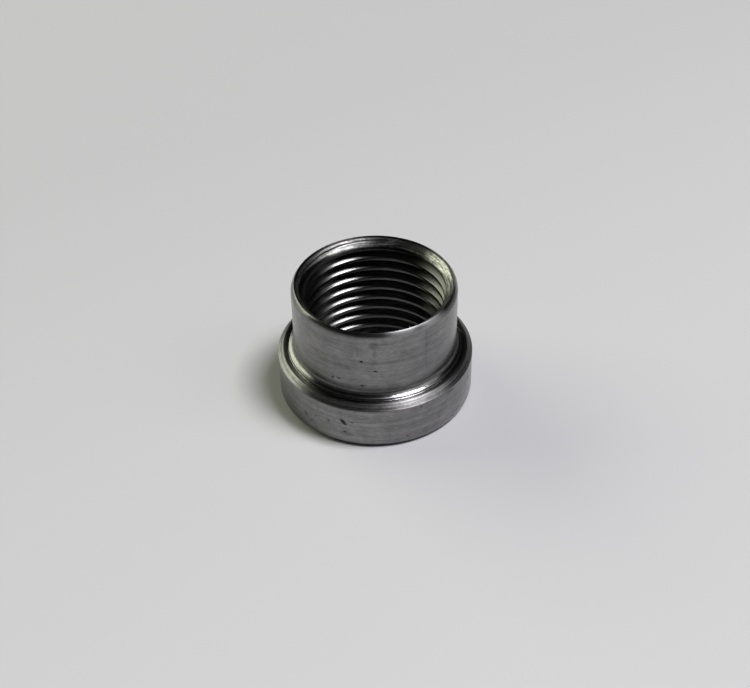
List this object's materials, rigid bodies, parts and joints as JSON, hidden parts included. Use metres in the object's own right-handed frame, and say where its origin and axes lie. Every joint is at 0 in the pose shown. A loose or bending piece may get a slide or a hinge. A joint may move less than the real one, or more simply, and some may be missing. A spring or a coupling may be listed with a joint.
{
  "type": "weld bung",
  "caption": "Short turned steel collar with a plain neck, a wider flange and a left-hand thread right through, for welding into a tube's end or wall.",
  "frame": {"origin": "centre of the flange's end face, on the bore's axis, which is the bottom of the box", "axes": "+Z along the bore's axis, from the flange's end face towards the end of the neck"},
  "size_m": [0.0234, 0.0234, 0.0153],
  "materials": {
    "turned_steel": "bare turned steel with fine tool lines, small pits and nicks"
  },
  "bodies": {
    "root": {"weld_bung": "turned_steel"}
  },
  "joints": []
}
